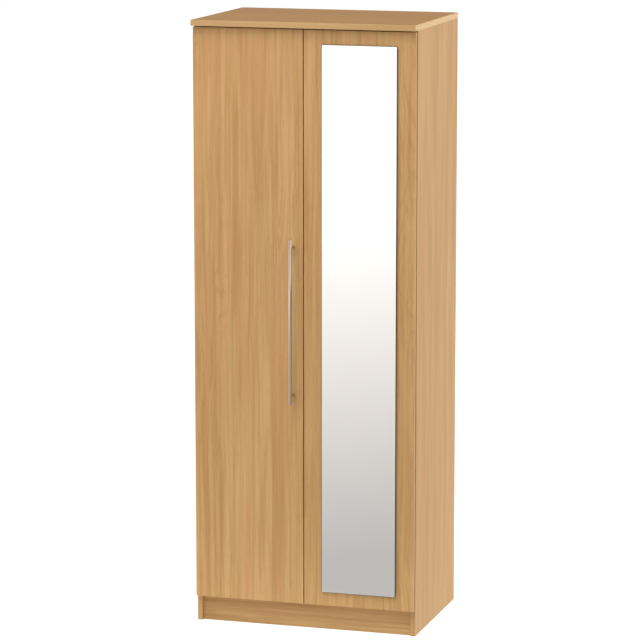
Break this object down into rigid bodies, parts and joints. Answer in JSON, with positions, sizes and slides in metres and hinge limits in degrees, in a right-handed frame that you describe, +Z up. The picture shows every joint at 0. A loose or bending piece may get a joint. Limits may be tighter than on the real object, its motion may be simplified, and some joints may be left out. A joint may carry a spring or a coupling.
{
  "type": "two-door wardrobe",
  "caption": "Tall two-door wardrobe in light wood laminate, with a frameless mirror on one door, a long bar handle on the other, a hat shelf and a clothes rail.",
  "frame": {"origin": "on the floor, at the middle of the outline seen from above, handle included", "axes": "+X to the right, the doors face -Y, +Z up"},
  "size_m": [0.74, 0.5554, 1.97],
  "materials": {
    "laminate_board": "satin wood-print laminate with vertical grain",
    "edge_strip": "satin plastic edge strip with wood print",
    "hardboard": "thin painted hardboard",
    "dowel_wood": "plain beech",
    "brushed_bar": "brushed",
    "mirror_glass": "silvered float glass with ground edges",
    "foam_tape": "black closed-cell foam tape",
    "soft_stop": "clear soft plastic",
    "zinc_steel": "bright zinc plate",
    "chromed_tube": "polished chrome",
    "nickel_hinge": "nickel-plated pressed steel"
  },
  "bodies": {
    "carcass": {"side_panel_left": "laminate_board", "side_panel_right": "laminate_board", "side_edging_left": "edge_strip", "side_edging_right": "edge_strip", "top_panel": "laminate_board", "top_edging": "edge_strip", "base_panel": "laminate_board", "base_edging": "edge_strip", "plinth_front": "laminate_board", "plinth_rear": "laminate_board", "hat_shelf": "laminate_board", "shelf_edging": "edge_strip", "back_panel": "hardboard", "back_screws": "zinc_steel", "dowels": "dowel_wood", "cam_bolts": "zinc_steel", "cam_locks": "zinc_steel", "hanging_rail": "chromed_tube", "rail_socket_left": "chromed_tube", "rail_socket_right": "chromed_tube", "rail_screws": "zinc_steel", "hinge_plates_left": "nickel_hinge", "hinge_plates_right": "nickel_hinge", "plate_screws": "zinc_steel", "hinge_arms_left": "nickel_hinge", "hinge_arms_right": "nickel_hinge", "arm_screws": "zinc_steel"},
    "left_door": {"door_left": "laminate_board", "door_edging_left": "edge_strip", "hinge_cups_left": "nickel_hinge", "hinge_pins_left": "nickel_hinge", "cup_screws_left": "zinc_steel", "handle_bar": "brushed_bar", "handle_posts": "brushed_bar", "handle_screws": "zinc_steel", "door_buffers_left": "soft_stop"},
    "right_door": {"door_right": "laminate_board", "door_edging_right": "edge_strip", "hinge_cups_right": "nickel_hinge", "hinge_pins_right": "nickel_hinge", "cup_screws_right": "zinc_steel", "mirror_glass": "mirror_glass", "mirror_tape": "foam_tape", "door_buffers_right": "soft_stop"}
  },
  "joints": [
    {"name": "left_door_hinge", "type": "hinge", "parent": "carcass", "child": "left_door", "pos_m": [-0.3615, -0.22775, 1.01625], "axis": [0, 0, -1], "range_deg": [0, 100]},
    {"name": "right_door_hinge", "type": "hinge", "parent": "carcass", "child": "right_door", "pos_m": [0.3615, -0.22775, 1.01625], "axis": [0, 0, 1], "range_deg": [0, 100]}
  ]
}
